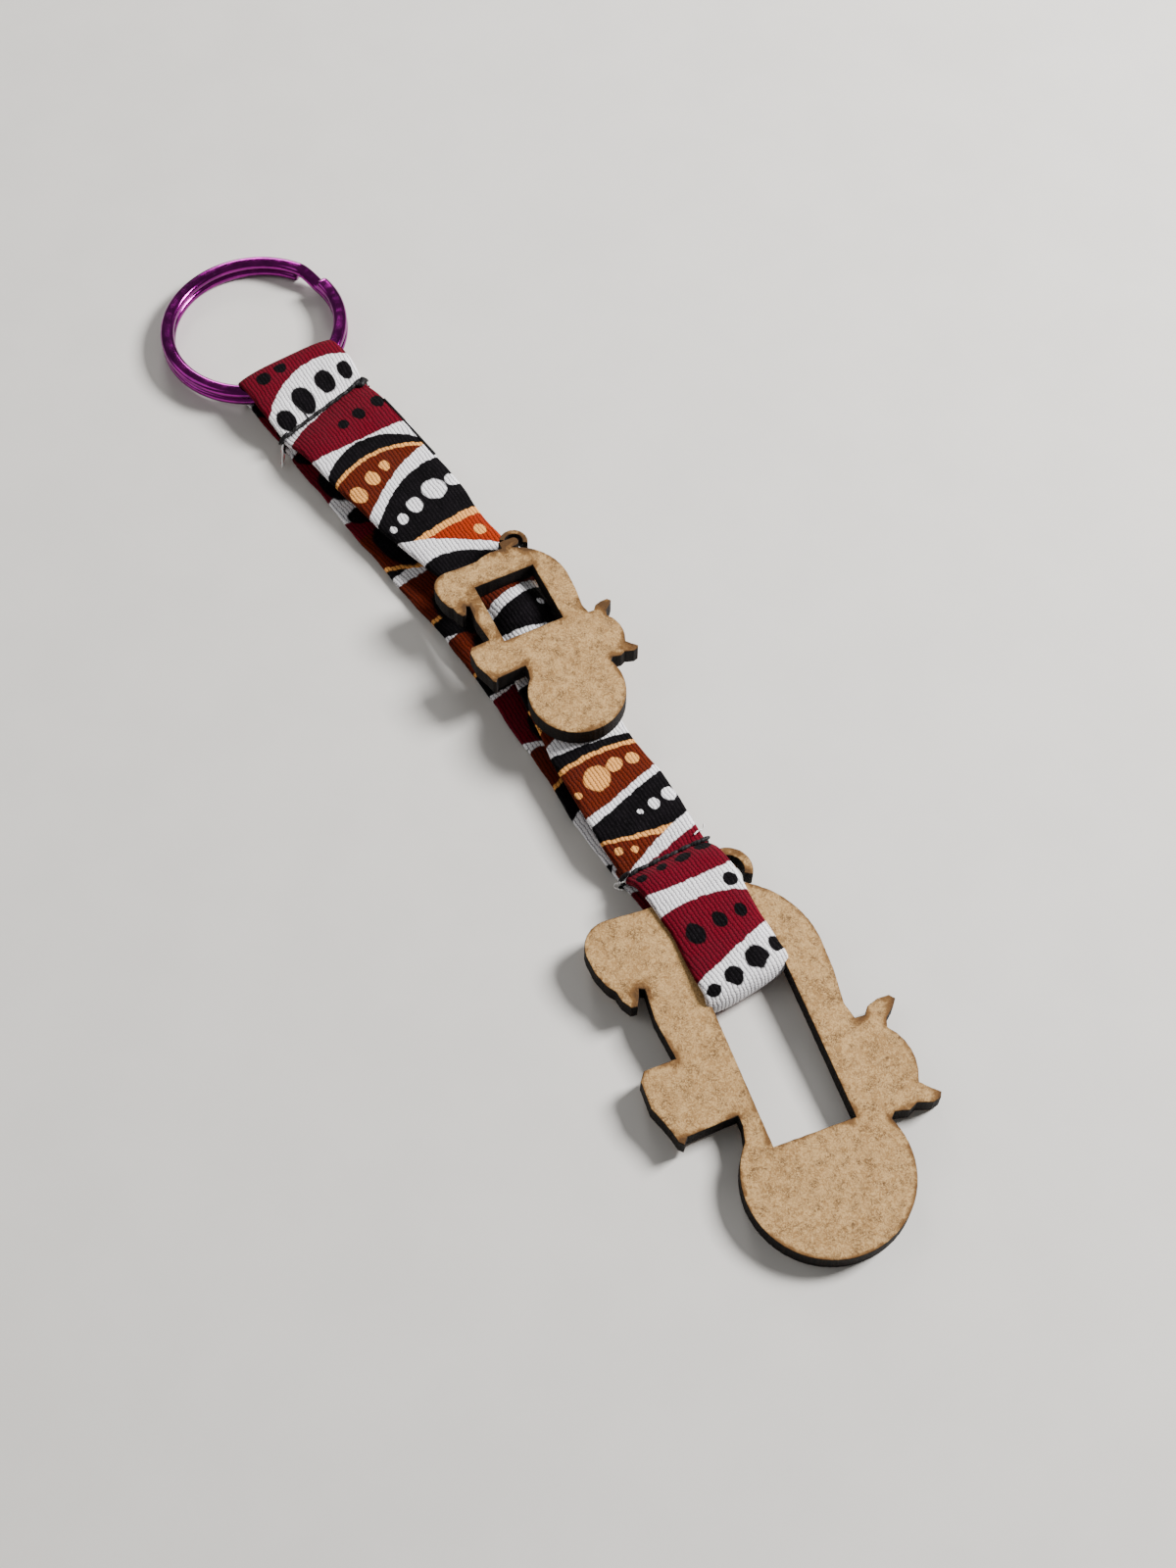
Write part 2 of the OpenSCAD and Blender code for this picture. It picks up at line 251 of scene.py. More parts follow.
def buildWeaveGroup():
    # plain weave with stronger threads along the strap: its height, and a crest value for each thread, from
    # its height and fibres, which sets its roughness and its painted highlight
    nodes, given, out = newGroup(
        "plainWeave",
        [("Place", "vector", (0, 0, 0)), ("Rib", "number", 0.5), ("Cross", "number", 0.42),
         ("Unevenness", "number", 0.5)],
        [("Height", "number"), ("Thread", "number"), ("Jag", "number")])
    bent = nodes.noise(given["Place"], 0.9, 2)
    parts = nodes.add("ShaderNodeSeparateXYZ", {0: given["Place"]})
    sway = nodes.math("MULTIPLY", nodes.math("SUBTRACT", bent, 0.5), given["Unevenness"])
    across = nodes.math("DIVIDE", nodes.math("ADD", parts.outputs[1], sway), given["Rib"])
    along = nodes.math("DIVIDE", parts.outputs[0], given["Cross"])
    half = nodes.math("MULTIPLY", nodes.math("FLOOR", across), 0.5)
    jag = nodes.add("ShaderNodeTexWhiteNoise", {"W": nodes.math("FLOOR", across)}, noise_dimensions="1D")
    nodes.feed(out["Jag"], nodes.math("SUBTRACT", jag.outputs["Value"], 0.5))
    rib = nodes.math("ABSOLUTE", nodes.math("SINE", nodes.math("MULTIPLY", across, math.pi)))
    over = nodes.math("ABSOLUTE", nodes.math(
        "SINE", nodes.math("MULTIPLY", nodes.math("ADD", along, half), math.pi)))
    fibre = nodes.noise(nodes.stretched(given["Place"], (1.6, 9.0, 1.0)), 1.0, 3, 0.65)
    height = nodes.math("MULTIPLY_ADD", over, 0.35, nodes.math("MULTIPLY", rib, 0.65))
    nodes.feed(out["Height"], nodes.math("MULTIPLY_ADD", fibre, 0.35, height))
    nodes.feed(out["Thread"], nodes.math("MULTIPLY", nodes.ramp(height, 0.1, 0.75, 0.35, 1.0), fibre))
    return nodes.tree


def buildFibreGroup():
    # short curly fibres pressed into a board, darker and lighter than it
    nodes, given, out = newGroup(
        "pressedFibre",
        [("Place", "vector", (0, 0, 0)), ("Scale", "number", 900.0), ("Width", "number", 0.035)],
        [("Fibre", "number"), ("Mottle", "number")])
    lines = []
    for scale, shift in ((1.0, 0.0), (1.7, 7.0)):
        moved = nodes.add("ShaderNodeVectorMath", {0: given["Place"], 1: (shift, shift, 0)}, operation="ADD")
        value = nodes.noise(moved.outputs[0], nodes.math("MULTIPLY", given["Scale"], scale), 1.5, 0.5, 1.2)
        ridge = nodes.math("ABSOLUTE", nodes.math("SUBTRACT", value, 0.5))
        lines.append(nodes.ramp(ridge, given["Width"], 0.0))
    nodes.feed(out["Fibre"], nodes.math("MAXIMUM", lines[0], lines[1]))
    coarse = nodes.math("MULTIPLY", given["Scale"], 0.3)
    nodes.feed(out["Mottle"], nodes.noise(given["Place"], coarse, 4, 0.6))
    return nodes.tree


# Printed cotton: bands in order along the strap, each (start, slant, bend, colour), then dots, each
# (along, across, half length, half width, colour). The first nine dots are painted shade on the hem, the rest
# print.

cottonPrintAndPaintedLight = {
    "repeat": 134.5,
    "colours": {"crimson": tone("620017"), "white": tone("f6f3f5"), "black": tone("030103"),
                "rust": tone("5a1a04"), "cream": tone("f0a658"), "orange": tone("942a08")},
    "ribShade": 0.85, "threadJag": 0.17, "fuzz": 0.025,
    "bands": [
        (4.7, -0.36, 0.05, "white"), (12.9, -0.36, 0.012, "crimson"), (21.4, 0.03, 0, "white"),
        (21.9, -0.24, 0.06, "black"), (24.9, -0.17, 0.036, "cream"), (25.6, -0.17, 0.036, "rust"),
        (32.0, -0.67, 0.022, "white"), (34.0, -0.72, 0.037, "black"), (42.4, -0.11, 0.004, "cream"),
        (43.6, -0.12, 0.007, "orange"), (42.7, 0.52, 0.017, "white"), (46.9, -0.04, 0.055, "black"),
        (53.0, -0.17, 0.02, "cream"), (53.7, -0.17, 0.02, "rust"), (59.9, -0.28, 0.013, "white"),
        (61.5, -0.16, 0, "black"), (63.9, 0.29, 0, "white"), (65.0, 0.3, 0, "crimson"),
        (71.5, -0.1, 0.01, "white"), (73.5, 0.12, 0.01, "black"), (77.5, 0.1, 0, "cream"),
        (78.2, 0.1, 0, "rust"), (83.0, -0.3, 0, "white"), (86.4, 0.2, 0, "black"),
        (88.2, 0.03, 0.015, "cream"), (88.9, 0.03, 0.015, "rust"), (96.4, -0.17, -0.005, "white"),
        (97.6, -0.21, 0, "black"), (102.7, 0.28, -0.01, "cream"), (103.3, 0.33, 0, "rust"),
        (105.3, -0.31, 0.01, "white"), (106.7, -0.15, 0, "crimson"), (113.0, 0.15, -0.007, "white"),
        (115.9, 0.12, 0.028, "crimson"), (125.5, -0.22, 0, "white"), (133.9, 0, 0, "crimson"),
        (134.9, -0.3, 0, "white")],
    "dots": [
        # the first nine dots, large black ovals near across -10 to -11, are painted shade, not print: they
        # darken the turned-under hem and the back layer where these lie in shadow
        (119.0, -10.6, 3.7, 2.9, "black"), (111.8, -10.6, 1.8, 2.9, "black"),
        (104.0, -10.6, 4.7, 2.9, "black"),
        (88.6, -10.2, 5.1, 3.4, "black"), (78.6, -10.2, 5.4, 3.4, "black"), (64.6, -10.2, 4.1, 3.2, "black"),
        (53.6, -10.2, 3.3, 3.2, "black"), (3.5, -11.4, 6.5, 3.2, "black"), (126.6, -10.6, 2.2, 2.9, "black"),
        (3.2, -4.6, 1.3, 1.15, "black"), (2.5, -1.4, 1.2, 1.0, "black"), (11.5, -5.3, 1.7, 1.45, "black"),
        (9.7, -1.2, 2.3, 1.7, "black"), (8.3, 3.4, 1.9, 1.6, "black"), (7.8, 7.2, 1.5, 1.2, "black"),
        (17.6, 1.6, 1.0, 0.9, "black"), (17.0, 4.7, 1.2, 1.0, "black"), (16.3, 8.4, 1.3, 1.1, "black"),
        (30.6, -3.2, 1.6, 1.2, "cream"), (29.0, 0.1, 1.4, 1.1, "cream"), (27.9, 2.9, 1.0, 0.8, "cream"),
        (39.0, -1.9, 0.6, 0.5, "white"), (38.1, 0.2, 1.0, 0.8, "white"), (36.9, 3.0, 1.4, 1.2, "white"),
        (35.8, 7.0, 1.9, 1.9, "white"), (35.6, 10.4, 1.2, 1.2, "white"), (46.0, 9.0, 1.0, 0.9, "cream"),
        (56.6, -2.6, 1.5, 1.2, "cream"), (55.9, 0.8, 1.2, 1.0, "cream"), (62.7, 9.3, 0.6, 0.5, "white"),
        (62.7, 11.4, 1.1, 0.9, "white"), (68.6, -2.0, 1.1, 1.2, "black"), (68.9, 1.8, 1.3, 1.1, "black"),
        (80.6, -3.0, 1.0, 1.0, "cream"), (80.9, 0.2, 1.3, 1.2, "cream"),
        (92.3, 0.1, 2.0, 2.0, "cream"), (91.7, 3.5, 1.1, 1.3, "cream"), (92.1, 6.3, 1.0, 1.0, "cream"),
        (93.2, -3.6, 0.6, 0.5, "cream"), (99.9, 7.3, 1.1, 1.1, "white"), (100.2, 4.6, 0.9, 0.8, "white"),
        (100.2, 2.2, 0.4, 0.4, "white"), (103.6, -3.4, 0.6, 0.6, "cream"), (104.3, -1.4, 0.5, 0.5, "cream"),
        (109.4, -3.5, 0.7, 0.8, "black"), (109.4, -0.1, 0.7, 0.8, "black"), (109.7, 3.3, 0.8, 1.3, "black"),
        (109.4, 6.9, 0.9, 1.3, "black"), (116.1, 6.6, 1.1, 1.0, "black"), (120.5, -2.0, 1.7, 1.3, "black"),
        (120.5, 1.9, 1.3, 1.0, "black"), (120.8, 5.2, 1.1, 0.9, "black"), (129.3, -4.9, 1.3, 1.2, "black"),
        (128.8, -1.3, 1.7, 1.4, "black"), (128.2, 2.9, 2.1, 1.7, "black"), (127.8, 6.3, 1.5, 1.0, "black")],
}


def printedCotton():
    material, nodes, shader = newMaterial(
        "printedCotton", {"Specular IOR Level": 0.07, "Sheen Weight": 0.015, "Sheen Roughness": 0.5})
    colours = cottonPrintAndPaintedLight["colours"]
    place = nodes.add("ShaderNodeAttribute", attribute_name="clothPlace").outputs["Vector"]
    drift = nodes.add("ShaderNodeTexNoise", {"Vector": place, "Scale": 0.7, "Detail": 3.0, "Roughness": 0.6})
    centred = nodes.add("ShaderNodeVectorMath", {0: drift.outputs["Color"], 1: (0.5, 0.5, 0.5)},
                        operation="SUBTRACT")
    drifted = nodes.add("ShaderNodeVectorMath", {0: centred.outputs[0], 1: (0.5, 0.35, 0.0), 2: place},
                        operation="MULTIPLY_ADD")
    parts = nodes.add("ShaderNodeSeparateXYZ", {0: drifted.outputs[0]})
    weave = nodes.place(buildWeaveGroup(), {"Place": place, "Rib": 0.58, "Cross": 0.44})
    stepped = nodes.math("MULTIPLY_ADD", weave.outputs["Jag"], cottonPrintAndPaintedLight["threadJag"], parts.outputs[0])
    along = nodes.math("WRAP", stepped, cottonPrintAndPaintedLight["repeat"], 0.0)
    flat = nodes.add("ShaderNodeCombineXYZ", {0: along, 1: parts.outputs[1]}).outputs[0]
    band, dot = buildBandGroup(), buildDotGroup()
    colour = colours["crimson"]
    for start, slant, bend, name in cottonPrintAndPaintedLight["bands"]:
        colour = nodes.place(band, {
            "Colour": colour, "Along": along, "Across": parts.outputs[1], "Start": start, "Slant": slant,
            "Bend": bend, "New Colour": colours[name]}).outputs[0]
    for dotAlong, dotAcross, halfLength, halfWidth, name in cottonPrintAndPaintedLight["dots"]:
        colour = nodes.place(dot, {
            "Colour": colour, "Place": flat, "Middle": (dotAlong, dotAcross, 0),
            "Half Size": (halfLength, halfWidth, 1), "Dot Colour": colours[name]}).outputs[0]
    faded = nodes.noise(place, 0.35, 4, 0.6)
    # painted highlight, with pale fibre fuzz: the threads' crests are mixed towards a pale lilac
    crestFuzzAndHighlight = nodes.ramp(weave.outputs["Thread"], 0.5, 0.75, 0.0, cottonPrintAndPaintedLight["fuzz"])
    fuzzAndHighlight = nodes.mix(crestFuzzAndHighlight, colour, tone("d9c8cf"))
    # painted shade: the valleys between the threads are multiplied towards a dark violet
    dip = nodes.ramp(weave.outputs["Height"], 0.35, 0.85, cottonPrintAndPaintedLight["ribShade"], 0.0)
    shaded = nodes.mix(dip, fuzzAndHighlight, tone("2c2236"), "MULTIPLY")
    nodes.feed(shader.inputs["Base Color"],
               nodes.mix(nodes.ramp(faded, 0.35, 0.7, 0.0, 0.12), shaded, (0.02, 0.015, 0.02, 1)))
    nodes.feed(shader.inputs["Roughness"], nodes.ramp(weave.outputs["Thread"], 0.2, 0.8, 0.92, 0.75))
    nodes.bump(shader, weave.outputs["Height"], 0.75, 0.00012)
    return material


def sewingThread(name, colour):
    # twisted thread: slanting strands wound round it
    material, nodes, shader = newMaterial(name, {"Specular IOR Level": 0.2, "Sheen Weight": 0.03})
    place = nodes.add("ShaderNodeTexCoord").outputs["Object"]
    twist = nodes.add(
        "ShaderNodeTexWave", {"Vector": place, "Scale": 900.0, "Distortion": 1.5, "Detail": 2.0},
        wave_type="BANDS", bands_direction="DIAGONAL")
    fuzz = nodes.noise(place, 4000.0, 2)
    # painted highlight: bands along the twist are painted up to twice as light as the thread
    light = tuple(min(1, c * 2 + 0.004) for c in colour[:3]) + (1,)
    lit = nodes.mix(nodes.ramp(twist.outputs["Fac"], 0.2, 0.9), colour, light)
    nodes.feed(shader.inputs["Base Color"], lit)
    nodes.feed(shader.inputs["Roughness"], nodes.ramp(fuzz, 0.3, 0.7, 0.45, 0.7))
    nodes.bump(shader, twist.outputs["Fac"], 0.6, 0.00005)
    return material


boardLook = {
    "face": tone("957144"), "light": tone("c29c68"), "fibre": tone("4c331c"), "smoke": tone("5e3c18"),
    "soot": tone("38220c"), "char": tone("050303"), "charLight": tone("1c110a"),
}


def fibreboard(fibreGroup):
    # raw board whose laser-cut edges are charred, with smoke stains at its corners
    material, nodes, shader = newMaterial("scorchedFibreboard", {"Specular IOR Level": 0.25})
    place = nodes.add("ShaderNodeTexCoord").outputs["Object"]
    scorch = nodes.add("ShaderNodeAttribute", attribute_name="scorch").outputs["Fac"]
    wall = nodes.add("ShaderNodeAttribute", attribute_name="cutWall").outputs["Fac"]
    fibre = nodes.place(fibreGroup, {"Place": place, "Scale": 1150.0, "Width": 0.05})
    fine = nodes.noise(place, 5200.0, 3, 0.7)
    clump = nodes.noise(place, 2300.0, 3, 0.6, 1.4)
    mottle = nodes.math("MULTIPLY_ADD", clump, 0.8, nodes.math("MULTIPLY", fibre.outputs["Mottle"], 0.2))
    colour = nodes.mix(nodes.ramp(mottle, 0.38, 0.62), boardLook["face"], boardLook["light"])
    some = nodes.ramp(nodes.noise(place, 620.0, 2), 0.42, 0.62)
    flecks = nodes.math("MULTIPLY", nodes.math("MULTIPLY", fibre.outputs["Fibre"], some), 0.8)
    colour = nodes.mix(flecks, colour, boardLook["fibre"])
    colour = nodes.mix(nodes.ramp(fine, 0.55, 0.75, 0.0, 0.5), colour, boardLook["fibre"])
    cloud = nodes.noise(place, 420.0, 5, 0.65, 0.6)
    patch = nodes.math("MULTIPLY", nodes.ramp(cloud, 0.32, 0.66, 0.25, 1.7), scorch)
    colour = nodes.mix(nodes.ramp(patch, 0.3, 1.7, 0.0, 0.85), colour, boardLook["smoke"])
    colour = nodes.mix(nodes.ramp(patch, 1.6, 3.4, 0.0, 0.7), colour, boardLook["soot"])
    streak = nodes.noise(nodes.stretched(place, (1.0, 1.0, 0.12)), 2600.0, 3, 0.6)
    char = nodes.mix(nodes.ramp(streak, 0.35, 0.75), boardLook["char"], boardLook["charLight"])
    nodes.feed(shader.inputs["Base Color"], nodes.mix(nodes.ramp(wall, 0.25, 0.9), colour, char))
    nodes.feed(shader.inputs["Roughness"], nodes.ramp(fine, 0.3, 0.7, 0.95, 0.72))
    rough = nodes.math("MULTIPLY_ADD", fibre.outputs["Fibre"], 0.5, fine)
    nodes.bump(shader, rough, 0.35, 0.00006)
    return material


ringLook = {"deep": tone("6c0264"), "bright": tone("920a84"), "rubbed": tone("e7c4ee")}

def purpleCoating():
    # glossy coloured coating on steel, with faint drawing lines and specks where it is rubbed
    material, nodes, shader = newMaterial("purpleCoating", {
        "Metallic": 1.0, "Coat Weight": 0.3, "Coat Roughness": 0.04, "Specular IOR Level": 0.6})
    place = nodes.add("ShaderNodeTexCoord").outputs["Object"]
    cloud = nodes.noise(place, 260.0, 4, 0.6)
    speck = nodes.noise(place, 2400.0, 2, 0.6)
    lines = nodes.noise(nodes.stretched(place, (1.0, 1.0, 14.0)), 700.0, 2, 0.5)
    colour = nodes.mix(nodes.ramp(cloud, 0.35, 0.7), ringLook["deep"], ringLook["bright"])
    colour = nodes.mix(nodes.ramp(speck, 0.72, 0.8, 0.0, 0.5), colour, ringLook["rubbed"])
    nodes.feed(shader.inputs["Base Color"], colour)
    nodes.feed(shader.inputs["Roughness"], nodes.ramp(lines, 0.3, 0.75, 0.1, 0.22))
    nodes.bump(shader, lines, 0.12, 0.00003)
    return material


def driedGlue():
    material, nodes, shader = newMaterial("driedGlue", {"Coat Weight": 0.3, "Subsurface Weight": 0.2})
    place = nodes.add("ShaderNodeTexCoord").outputs["Object"]
    cloud = nodes.noise(place, 900.0, 3, 0.6)
    nodes.feed(shader.inputs["Base Color"], nodes.mix(cloud, tone("cfc6ae"), tone("efe9da")))
    nodes.feed(shader.inputs["Roughness"], nodes.ramp(cloud, 0.3, 0.7, 0.25, 0.5))
    nodes.bump(shader, cloud, 0.4, 0.0001)
    return material


cottonMaterial = printedCotton()
blackThread = sewingThread("blackThread", tone("060406"))
whiteThread = sewingThread("whiteThread", tone("d9d2cc"))
redThread = sewingThread("redThread", tone("a3132c"))
boardMaterial = fibreboard(buildFibreGroup())
print("materials made")

# Split ring: one wire wound in two turns, tipped so that its far side meets the table

ringShape = {"outer": 30.0, "wide": 2.2, "high": 1.45, "round": 0.7, "gap": 0.06, "crossAt": 100.0,
             "crossSpan": 20.0, "endGap": 0.6, "tip": 2.43, "rows": 560, "cornerSteps": 6, "endBevel": 0.35,
             "endShrink": 0.12}


def roundedSection(wide, high, radius, steps):
    points = []
    for cx, cy, start in ((1, 1, 0), (-1, 1, 90), (-1, -1, 180), (1, -1, 270)):
        for i in range(steps + 1):
            a = math.radians(start + 90 * i / steps)
            points.append((cx * (wide / 2 - radius) + radius * math.cos(a),
                           cy * (high / 2 - radius) + radius * math.sin(a)))
    return np.array(points)


def splitRing():
    r = ringShape
    section = roundedSection(r["wide"], r["high"], r["round"], r["cornerSteps"])
    start = r["crossAt"] + r["crossSpan"] + r["endGap"]
    turn = 360 - r["crossSpan"] - r["endGap"]
    angles = np.linspace(start, start + 2 * turn + r["crossSpan"], r["rows"])
    climb = np.clip((angles - start - turn) / r["crossSpan"], 0, 1)
    level = (r["high"] + r["gap"]) * climb * climb * (3 - 2 * climb)
    middle = r["outer"] / 2 - r["wide"] / 2
    fromEnd = np.minimum(angles - angles[0], angles[-1] - angles) * math.pi / 180 * middle
    size = 1 - r["endShrink"] * np.clip(1 - fromEnd / r["endBevel"], 0, 1) ** 2
    points = []
    for angle, z, k in zip(np.radians(angles), level, size):
        radial = middle + section[:, 0] * k
        points.append(np.stack([radial * math.cos(angle), radial * math.sin(angle),
                                r["high"] / 2 + section[:, 1] * k + z], 1))
    points = np.concatenate(points)
    columns = len(section)
    faces = gridFaces(r["rows"], columns, closed=True)
    faces += [tuple(range(columns - 1, -1, -1)),
              tuple(range((r["rows"] - 1) * columns, r["rows"] * columns))]
    tip = math.radians(r["tip"])
    flatHigh = 2 * r["high"] + r["gap"]
    farX = ringLow[0] + (flatHigh - 0.5) * math.sin(tip)
    x = points[:, 0] + r["outer"] / 2
    tipped = np.stack([farX + x * math.cos(tip) - points[:, 2] * math.sin(tip), midY + points[:, 1],
                       x * math.sin(tip) + points[:, 2] * math.cos(tip)], 1)
    ring = makePiece("ringWire", tipped * mm, faces, purpleCoating())
    recalculate(ring)
    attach(ring, "ring")
    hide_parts("split_ring")
    return ring


splitRing()
print("split ring made")

# The strap: one strip of cotton folded double, closed in a long loop and sewn across near each end.
# Edges are (along, across); heights are of the outer faces.

strapShape = {
    "layer": 0.9, "sheet": 0.26, "rawGap": 0.4, "rowStep": 0.55, "columns": 24, "edgeSteps": 5,
    "innerColumns": 5, "backShift": 12.6, "span": 95, "seamRoom": 0.12, "foldRound": 1.9, "printShift": 1.75,
    "upperSeam": 12.4, "upperSlant": 12.0, "lowerSeam": 107.46, "lowerSlant": -5.0,
    "left": [(0, -8.2), (9, -7.5), (15, -7.1), (27, -5.1), (36, -3.8), (44, -1.9), (50, -0.9), (57, 2.1),
             (67, 1.1), (75, -1.6), (89, -3.8), (98, -4.6), (107, -4.9), (120, -4.5),
             (127, -6.0), (132, -6.7)],
    "right": [(0, 7.9), (6, 9.2), (11, 9.0), (20, 10.0), (33, 11.0), (44, 10.7), (57, 11.6), (64, 11.2),
              (70, 9.6), (75, 9.2), (86, 8.4), (98, 8.4), (107, 8.0), (113, 8.5), (123, 7.3), (132, 6.5)],
    "backLeft": [(0, -8.2), (12, -7.4), (30, -6.8), (50, -5.2), (65, -4.3), (80, -4.5), (98, -5.4),
                 (112, -4.8), (127, -6.0), (132, -6.7)],
    "backRight": [(0, 7.9), (12, 8.9), (30, 9.0), (50, 10.0), (60, 11.2), (70, 10.4), (80, 8.2), (98, 7.6),
                  (112, 8.0), (123, 7.3), (132, 6.5)],
    "faceHigh": 4.6, "ringLoopHigh": 5.2, "charmLoopHigh": 5.6, "seamHigh": 3.15,
    "windowAlong": 62.0, "windowAcross": 6.5, "windowHalf": 4.6, "bulge": 1.6,
}


def eased(along, stations, soft=2.5):
    xs, ys = np.array(stations, float).T
    return np.mean([np.interp(along + d, xs, ys) for d in np.linspace(-soft, soft, 9)], axis=0)


def seamAt(which, across):
    slant = math.tan(math.radians(strapShape[which + "Slant"]))
    return strapShape[which + "Seam"] - np.asarray(across) * slant


def ripple(along, across, seed):
    # shallow waves of soft cloth
    waves = ((0.42, 0.31, 0.5), (0.21, -0.63, 0.3), (0.77, 0.22, 0.2), (1.3, -0.9, 0.12))
    return sum(size * np.sin(a * along + b * across + seed * (i + 1.7))
               for i, (a, b, size) in enumerate(waves))


def seamDip(distance, reach, power=1.5):
    return np.exp(-np.abs(distance / reach) ** power)


def pucker(distance, across):
    return 0.1 * np.cos(2 * math.pi * across / 2.3) * np.exp(-np.abs(distance) / 1.8)


def frontHigh(along, across):
    s = strapShape
    fromUpper = along - seamAt("upper", across)
    fromLower = along - seamAt("lower", across)
    low = s["seamHigh"]
    middle = (s["faceHigh"] - (s["faceHigh"] - low) * (seamDip(fromUpper, 3.0) + seamDip(fromLower, 3.4))
              + 0.25 * (seamDip(fromUpper - 6.5, 2.5) + seamDip(fromLower + 7, 3.0)))
    nearRing = s["ringLoopHigh"] - (s["ringLoopHigh"] - low) * seamDip(fromUpper, 2.8)
    nearCharm = s["charmLoopHigh"] - (s["charmLoopHigh"] - low) * seamDip(fromLower, 1.9, 1.8)
    high = np.where(fromUpper < 0, nearRing, np.where(fromLower > 0, nearCharm, middle))
    high = high + pucker(fromUpper, across) + pucker(fromLower, across)
    sideways = np.clip(1 - ((across - s["windowAcross"]) / s["windowHalf"]) ** 2, 0, 1)
    lengthways = np.clip(1 - ((along - s["windowAlong"]) / 5.6) ** 2, 0, 1)
    return high + s["bulge"] * sideways * lengthways ** 0.8


def sectionAcross():
    # places round the folded strip: share of the half width, depth side, and which part of the fold
    s = strapShape
    radius = (s["layer"] - s["sheet"]) / 2
    rows = []
    for f in np.linspace(1, 0, s["innerColumns"] + 1)[1:][::-1]:
        rows.append((-f, -1.0, "inner"))
    for i in range(1, s["edgeSteps"]):
        rows.append((-1.0, -math.cos(math.pi * i / s["edgeSteps"]), "edge"))
    for f in np.linspace(-1, 1, s["columns"] + 1):
        rows.append((f, 1.0, "outer"))
    for i in range(1, s["edgeSteps"]):
        rows.append((1.0, math.cos(math.pi * i / s["edgeSteps"]), "edge"))
    for f in np.linspace(1, 0, s["innerColumns"] + 1)[:-1]:
        rows.append((f, -1.0, "inner"))
    return rows, radius


def foldedStrip(name, path, edges, seed):
    # path(across) gives one line along the strip as (along, height), its outward direction and the
    # print's place on it; the strip's cloth is wrapped round that line
    s = strapShape
    rows, radius = sectionAcross()
    leftEdge, rightEdge = edges
    points, places = [], []
    for share, depth, part in rows:
        guess = share * 6.5
        for _ in range(2):
            line, outward, printAt = path(guess)
            left, right = eased(line[:, 0], leftEdge), eased(line[:, 0], rightEdge)
            middle, half = (left + right) / 2, (right - left) / 2 - radius
            guess = middle + share * half
        edgeOut = math.sqrt(max(0.0, 1 - depth * depth)) * radius * (1 if share > 0 else -1)
        wave = 0.22 * ripple(line[:, 0], 3.0 * share, seed + (2 if share > 0 else 0)) * abs(share)
        if part == "inner":
            sign = 1 if len(points) > len(rows) / 2 else -1
            lateral = guess if abs(share) > 0.01 else middle + sign * s["rawGap"] / 2
            across = middle + sign * (2 * half + math.pi * radius - np.abs(guess - middle))
        elif part == "edge":
            lateral = guess + edgeOut
            across = guess + (1 if share > 0 else -1) * math.acos(depth) * radius
        else:
            lateral = guess
            across = guess
        depthNow = depth * radius - 0.3 * abs(share) ** 5
        points.append(np.stack([
            line[:, 0] + outward[:, 0] * depthNow, lateral + wave,
            line[:, 1] + outward[:, 1] * depthNow], 1))
        places.append(np.stack([printAt, across, np.zeros(len(line))], 1))
    columns, count = len(points), len(points[0])
    points = np.stack(points, 1).reshape(-1, 3)
    places = np.stack(places, 1).reshape(-1, 3)
    strip = makePiece(name, placed(points), gridFaces(count, columns), cottonMaterial, {"clothPlace": places})
    solid = strip.modifiers.new("cloth", "SOLIDIFY")
    solid.thickness = s["sheet"] * mm
    solid.offset = 0
    applyModifiers(strip)
    recalculate(strip)
    return strip


def outwardOf(line):
    # outward direction of a line drawn clockwise as seen from the strap's left
    step = np.gradient(line, axis=0)
    step /= np.linalg.norm(step, axis=1)[:, None]
    return np.stack([-step[:, 1], step[:, 0]], 1)


def frontPath(across):
    s = strapShape
    first, last = np.atleast_1d(across)[[0, -1]]
    start, end = seamAt("upper", first) + s["seamRoom"], seamAt("lower", last) - s["seamRoom"]
    along = np.linspace(start, end, int(s["span"] / s["rowStep"]))
    high = frontHigh(along, across) - s["layer"] / 2 + 0.09 * ripple(along, across, 1.0)
    line = np.stack([along, high], 1)
    return line, outwardOf(line), along


def backPath(across):
    s = strapShape
    first, last = np.atleast_1d(across)[[0, -1]]
    start, end = seamAt("lower", first) - s["seamRoom"], seamAt("upper", last) + s["seamRoom"]
    along = np.linspace(start, end, int(s["span"] / s["rowStep"]))
    inset = np.minimum(along - end, start - along)
    high = s["layer"] / 2 + 0.02 + 0.25 * (0.5 + 0.5 * np.sin(along * 0.23)) * np.clip(inset / 12, 0, 1)
    line = np.stack([along, high], 1)
    return line, outwardOf(line), strapLength - along + s["backShift"]


def cornered(low, high, radius, steps=9):
    # round end of a loop, from its upper face to its lower face
    points = []
    for i in range(2 * steps + 1):
        a = math.radians(90 + 180 * i / (2 * steps))
        squared = abs(math.cos(a)) ** 0.8
        z = (low + high) / 2 + (high - low) / 2 * math.sin(a)
        points.append((radius * (1 - squared), z))
    return np.array(points)


def tuckedEnd(seam, side):
    # the strap's raw end, turned in under the seam
    high = strapShape["seamHigh"]
    along = np.linspace(seam + 2.4 * side, seam + 0.4 * side, 5)
    return np.stack([along, np.linspace(high - 2.1, high - 0.8, 5)], 1)

def loopLine(tucked, top, end, bottom):
    # the whole way round an end loop, and how far each point lies past the middle of its fold
    line = np.concatenate([tucked, top, end[1:-1], bottom])
    travelled = np.concatenate([[0], np.cumsum(np.linalg.norm(np.diff(line, axis=0), axis=1))])
    return line, travelled - travelled[len(tucked) + len(top) + len(end) // 2 - 1]

